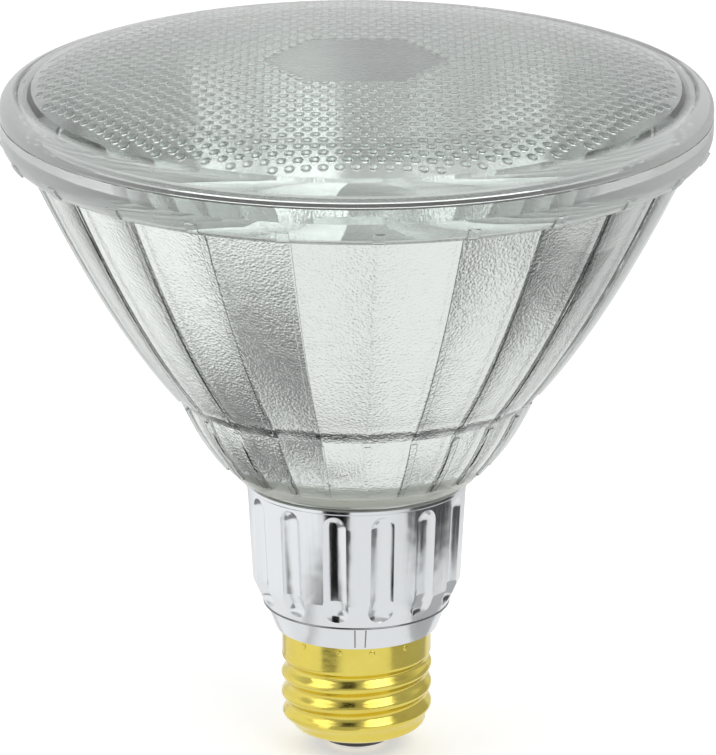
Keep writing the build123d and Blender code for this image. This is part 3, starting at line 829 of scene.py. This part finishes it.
class BULB_OT_base(bpy.types.Operator):
    """Finishes the skirt, its cement, the insulator, the contact and its solder"""
    bl_idname = "bulb.base"
    bl_label = "Skirt and screw base"

    def execute(self, context):
        _, colours, _ = settings()
        dress("skirt", bright_aluminium("skirt_aluminium", colours.skirt))
        dress("basing_cement", grainy(
            "basing_cement", (0.80, 0.78, 0.72), (0.70, 0.68, 0.62), 0.9, 500, 0.2))
        dress("base_insulator", grainy(
            "black_glass", (0.018, 0.017, 0.022), (0.03, 0.028, 0.035), 0.12, 300, 0.03))
        dress("centre_contact", rolled_brass("eyelet_brass", (0.72, 0.58, 0.28)))
        dress("contact_solder", grainy(
            "solder", (0.46, 0.46, 0.48), (0.36, 0.36, 0.38), 0.35, 500, 0.12, 1.0))
        return {"FINISHED"}


class BULB_OT_light_source(bpy.types.Operator):
    """Finishes the light source: spreader, pad, board, emitters and screws"""
    bl_idname = "bulb.light_source"
    bl_label = "Light source"

    def execute(self, context):
        dress("heat_spreader", bright_aluminium("drawn_spreader", (0.80, 0.81, 0.82)))
        dress("thermal_pad", grainy("pad_silicone", (0.40, 0.43, 0.47), (0.34, 0.37, 0.41), 0.8))
        dress("led_board", grainy(
            "white_mask", (0.86, 0.86, 0.85), (0.80, 0.80, 0.79), 0.35, 900, 0.03, 0, 0.3))
        dress("led_emitters", emitter_face())
        dress("board_screws", grainy(
            "zinc_plate", (0.66, 0.67, 0.68), (0.58, 0.59, 0.60), 0.28, 900, 0.04, 1.0))
        return {"FINISHED"}


class BULB_OT_driver(bpy.types.Operator):
    """Finishes the driver: its cup, its board and the parts and wires on it"""
    bl_idname = "bulb.driver"
    bl_label = "Driver"

    def execute(self, context):
        black = ((0.035, 0.035, 0.04), (0.05, 0.05, 0.055))
        dress("driver_cup", grainy("cup_plastic", (0.86, 0.86, 0.83), (0.80, 0.80, 0.77), 0.5, 900, 0.05))
        dress("driver_board", board_mask())
        dress("storage_capacitor", banded(
            "capacitor_sleeve", (0.03, 0.03, 0.05), (0.5, 0.5, 0.52), 20 * MM, 0.1, 0, 0.3))
        dress("power_transformer", banded(
            "transformer_tape", (0.08, 0.075, 0.07), (0.78, 0.60, 0.10), 11 * MM, 0.45))
        dress("filter_inductor", banded(
            "inductor_winding", (0.10, 0.09, 0.09), (0.62, 0.25, 0.08), 0.5 * MM, 0.7, 1))
        dress("fuse_resistor", banded(
            "resistor_lacquer", (0.25, 0.48, 0.45), (0.55, 0.12, 0.06), 2.2 * MM, 0.3, 2, 0.25))
        dress("film_capacitor", grainy("film_case", (0.72, 0.52, 0.08), (0.64, 0.45, 0.07), 0.3, 700, 0.04))
        dress("bridge_rectifier", grainy("rectifier_moulding", *black, 0.55, 1800, 0.05))
        dress("driver_chip", grainy("chip_moulding", *black, 0.55, 1800, 0.05))
        dress("contact_lead", grainy("red_insulation", (0.55, 0.05, 0.04), (0.47, 0.04, 0.03), 0.4))
        dress("shell_lead", grainy(
            "tinned_wire", (0.70, 0.70, 0.71), (0.60, 0.60, 0.61), 0.3, 700, 0.04, 1.0))
        dress("output_leads", grainy("white_insulation", (0.82, 0.82, 0.80), (0.75, 0.75, 0.73), 0.4))
        return {"FINISHED"}


class BULB_OT_stage(bpy.types.Operator):
    """Makes the floor, the lamps, the surroundings and the camera"""
    bl_idname = "bulb.stage"
    bl_label = "Stage"

    def execute(self, context):
        _, _, stage = settings()
        deselect()
        self.make_floor(stage)
        self.make_cards()
        self.make_world()
        for lamp in LAMPS:
            self.make_lamp(*lamp)
        self.make_camera(stage)
        bpy.context.scene.view_settings.view_transform = "Standard"
        return {"FINISHED"}

    def make_floor(self, stage):
        """Floor that is white to the camera and takes a shadow; in reflections it shows a painted glow
        instead, with a painted shadow beside the base.
        """
        bpy.ops.mesh.primitive_plane_add(size=stage.floor_side, location=(0, 0, 0))
        floor = named("studio_floor")
        finish = Finish("pale_floor", roughness=0.8, specular=0.0)
        finish.colour(finish.blend(finish.noise(6, 3.0), (0.80, 0.80, 0.80), (0.82, 0.82, 0.82)))
        path = finish.add("ShaderNodeLightPath")
        to_camera = finish.math("MULTIPLY", path.outputs["Is Camera Ray"], 0.45)
        plain = finish.lit(finish.shader.outputs["BSDF"], to_camera)
        mirrored = finish.math("MAXIMUM", path.outputs["Is Glossy Ray"], path.outputs["Is Transmission Ray"])
        # Reflections see this painted glow instead of the lit floor: painted light on the left, painted shade
        # to the right and behind.
        pool = finish.add("ShaderNodeEmission")
        finish.join(self.light_pool(finish), pool.inputs["Strength"])
        upper = finish.mixed(mirrored, plain, pool.outputs["Emission"])
        clear = finish.add("ShaderNodeBsdfTransparent")
        under = finish.add("ShaderNodeNewGeometry").outputs["Backfacing"]
        finish.join(finish.mixed(under, upper, clear.outputs["BSDF"]), finish.output.inputs["Surface"])
        floor.data.materials.append(finish.material)

    def light_pool(self, finish):
        """Painted glow of the floor in reflections: white on the left, darker elsewhere, and least beside the
        base, where a painted shadow lies.
        """
        x, y, _ = finish.axes()
        right = finish.spread(x, 0.06, 0.16, 1.0, 0.75)
        left = finish.spread(x, -0.085, -0.055, 1.0, 0.9)
        behind = finish.spread(y, 0.085, 0.13, 1.0, 0.78)
        # Painted shadow: a dark oval beside the base, where the bulb's own shadow falls on the floor.
        reach = finish.math("ADD", finish.squared(x, -0.049, 0.022), finish.squared(y, -0.020, 0.078))
        beside = finish.spread(finish.math("SQRT", reach), 0.75, 1.2, 0.28, 1.0)
        level = finish.math("MULTIPLY", finish.math("MULTIPLY", right, left), behind)
        return finish.math("MULTIPLY", level, beside)

    def make_cards(self):
        """Glowing cards that paint reflections: a dark one into a flute, a grey one onto the skirt and two
        lighter ones onto the brass.
        """
        for name, place, turn, width, height, tone in CARDS:
            bpy.ops.mesh.primitive_plane_add(
                size=1, location=place, rotation=(math.radians(90), 0, math.radians(turn)))
            card = named(name)
            card.scale = (width, height, 1)
            bpy.ops.object.transform_apply(location=False, rotation=False, scale=True)
            finish = Finish(name)
            glow = finish.add("ShaderNodeEmission")
            uneven = finish.spread(finish.noise(60, 3.0), 0.3, 0.7, tone, tone * 0.85)
            finish.join(uneven, glow.inputs["Strength"])
            finish.join(glow.outputs["Emission"], finish.output.inputs["Surface"])
            card.data.materials.append(finish.material)
            card.visible_camera = False
            card.visible_diffuse = False
            card.visible_shadow = False

    def make_world(self):
        """White to the camera; in reflections softer in front of the bulb and above it."""
        world = bpy.data.worlds.new("studio")
        bpy.context.scene.world = world
        world.use_nodes = True
        tree = world.node_tree
        add, join = tree.nodes.new, tree.links.new

        def ranged(value, low, high, to_low, to_high):
            node = add("ShaderNodeMapRange")
            node.interpolation_type = "SMOOTHSTEP"
            set_range(node, low, high, to_low, to_high)
            join(value, node.inputs["Value"])
            return node.outputs["Result"]

        def step(operation, first, second):
            node = add("ShaderNodeMath")
            node.operation = operation
            join(first, node.inputs[0])
            join(second, node.inputs[1])
            return node.outputs["Value"]

        way = add("ShaderNodeSeparateXYZ")
        join(add("ShaderNodeTexCoord").outputs["Generated"], way.inputs["Vector"])
        behind = ranged(way.outputs["Y"], -0.1, 0.5, 0.5, 0.80)
        above = ranged(way.outputs["Z"], 0.2, 0.8, 1.0, 0.75)
        level = step("MAXIMUM", step("MULTIPLY", behind, above),
                     add("ShaderNodeLightPath").outputs["Is Camera Ray"])
        background = tree.nodes["Background"]
        join(level, background.inputs["Strength"])
        background.inputs["Color"].default_value = (1, 1, 1, 1)

    def make_lamp(self, name, place, side, power):
        """Square soft lamp that faces the bulb."""
        bpy.ops.object.light_add(type="AREA", location=place)
        lamp = named(name)
        lamp.data.shape = "SQUARE"
        lamp.data.size = side
        lamp.data.energy = power
        lamp.rotation_euler = (Vector((0, 0, 0.06)) - Vector(place)).to_track_quat("-Z", "Y").to_euler()

    def make_camera(self, stage):
        """Camera at the photograph's place, height and tilt."""
        bpy.ops.object.camera_add(
            location=stage.camera_place, rotation=(math.radians(90) - stage.camera_tilt, 0, 0))
        camera = named("camera")
        camera.data.lens = stage.camera_lens
        camera.data.sensor_width = 36.0
        camera.data.shift_x, camera.data.shift_y = stage.camera_shift
        camera.data.clip_start = 0.1
        camera.data.clip_end = 50.0
        bpy.context.scene.camera = camera


STEPS = (BULB_OT_glass, BULB_OT_stipples, BULB_OT_mirror, BULB_OT_screw_shell, BULB_OT_stakes,
         BULB_OT_ledge, BULB_OT_base, BULB_OT_light_source, BULB_OT_driver, BULB_OT_stage)


class BULB_PT_panel(bpy.types.Panel):
    """Sizes, colours and steps of the bulb"""
    bl_idname = "BULB_PT_panel"
    bl_label = "Reflector bulb"
    bl_space_type = "VIEW_3D"
    bl_region_type = "UI"
    bl_category = "Bulb"

    def draw(self, context):
        for group in settings():
            box = self.layout.box()
            for key in group.__annotations__:
                box.prop(group, key)
        for step in STEPS:
            self.layout.operator(step.bl_idname)


GROUPS = {"bulb_sizes": BulbSizes, "bulb_colours": BulbColours, "bulb_stage": BulbStage}


def register():
    for group in GROUPS.values():
        bpy.utils.register_class(group)
    for name, group in GROUPS.items():
        setattr(bpy.types.Scene, name, bpy.props.PointerProperty(type=group))
    for item in (*STEPS, BULB_PT_panel):
        bpy.utils.register_class(item)


def unregister():
    for item in reversed((*STEPS, BULB_PT_panel)):
        bpy.utils.unregister_class(item)
    for name, group in reversed(GROUPS.items()):
        delattr(bpy.types.Scene, name)
        bpy.utils.unregister_class(group)


def main():
    register()
    bpy.ops.bulb.glass()
    bpy.ops.bulb.stipples()
    bpy.ops.bulb.mirror()
    bpy.ops.bulb.screw_shell()
    bpy.ops.bulb.stakes()
    bpy.ops.bulb.ledge()
    bpy.ops.bulb.base()
    bpy.ops.bulb.light_source()
    bpy.ops.bulb.driver()
    bpy.ops.bulb.stage()


if __name__ == "__main__":
    main()
